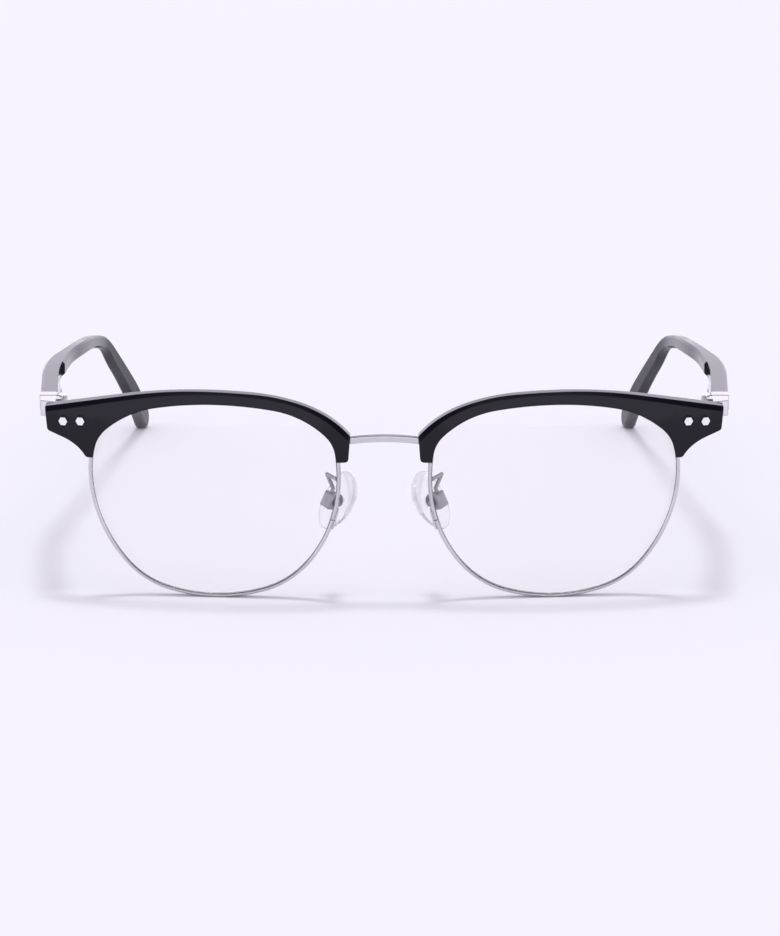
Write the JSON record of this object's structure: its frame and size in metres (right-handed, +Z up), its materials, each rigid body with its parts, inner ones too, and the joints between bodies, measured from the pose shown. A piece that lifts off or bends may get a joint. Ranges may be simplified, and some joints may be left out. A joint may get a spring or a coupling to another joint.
{
  "type": "browline glasses",
  "caption": "Browline spectacles with black brows over metal rims, clear lenses, hinged temples with bent tips, and rocking clear nose pads.",
  "frame": {"origin": "centre of the footprint, on the table that the rims and the temple tips stand on", "axes": "+X to the wearer's left, -Y out of the front, +Z up"},
  "size_m": [0.1468, 0.1502, 0.0437],
  "materials": {
    "black_acetate": "polished black acetate sheet",
    "silver_metal": "satin silver plate",
    "polished_metal": "polished silver plate",
    "screw_steel": "bright turned steel",
    "core_steel": "drawn wire",
    "lens": "clear with a thin coating",
    "clear_pad": "clear moulded pad"
  },
  "bodies": {
    "front": {"bridge": "silver_metal", "left_lens": "lens", "left_eyewire": "silver_metal", "left_rim_lock_upper": "silver_metal", "left_rim_lock_lower": "silver_metal", "left_rim_lock_screw": "screw_steel", "left_brow": "black_acetate", "left_brow_screws": "polished_metal", "left_end_piece": "silver_metal", "left_hinge_pin": "screw_steel", "left_pad_box": "silver_metal", "left_pad_screw": "screw_steel", "left_pad_arm": "silver_metal", "right_lens": "lens", "right_eyewire": "silver_metal", "right_rim_lock_upper": "silver_metal", "right_rim_lock_lower": "silver_metal", "right_rim_lock_screw": "screw_steel", "right_brow": "black_acetate", "right_brow_screws": "polished_metal", "right_end_piece": "silver_metal", "right_hinge_pin": "screw_steel", "right_pad_box": "silver_metal", "right_pad_screw": "screw_steel", "right_pad_arm": "silver_metal"},
    "left_temple": {"left_temple": "black_acetate", "left_core_wire": "core_steel", "left_temple_cap": "silver_metal", "left_hinge_leaf": "silver_metal", "left_hinge_rivets": "screw_steel"},
    "left_pad": {"left_nose_pad": "clear_pad", "left_pad_insert": "screw_steel"},
    "right_temple": {"right_temple": "black_acetate", "right_core_wire": "core_steel", "right_temple_cap": "silver_metal", "right_hinge_leaf": "silver_metal", "right_hinge_rivets": "screw_steel"},
    "right_pad": {"right_nose_pad": "clear_pad", "right_pad_insert": "screw_steel"}
  },
  "joints": [
    {"name": "left_temple_fold", "type": "hinge", "parent": "front", "child": "left_temple", "pos_m": [0.06691, -0.05783, 0.03791], "axis": [0, 0, 1], "range_deg": [0, 90]},
    {"name": "left_pad_rock", "type": "hinge", "parent": "front", "child": "left_pad", "pos_m": [0.01083, -0.06796, 0.01971], "axis": [0.6622, 0.6947, 0.2811], "range_deg": [-8, 8]},
    {"name": "right_temple_fold", "type": "hinge", "parent": "front", "child": "right_temple", "pos_m": [-0.06691, -0.05783, 0.03791], "axis": [0, 0, -1], "range_deg": [0, 84]},
    {"name": "right_pad_rock", "type": "hinge", "parent": "front", "child": "right_pad", "pos_m": [-0.01083, -0.06796, 0.01971], "axis": [-0.6622, 0.6947, 0.2811], "range_deg": [-8, 8]}
  ]
}
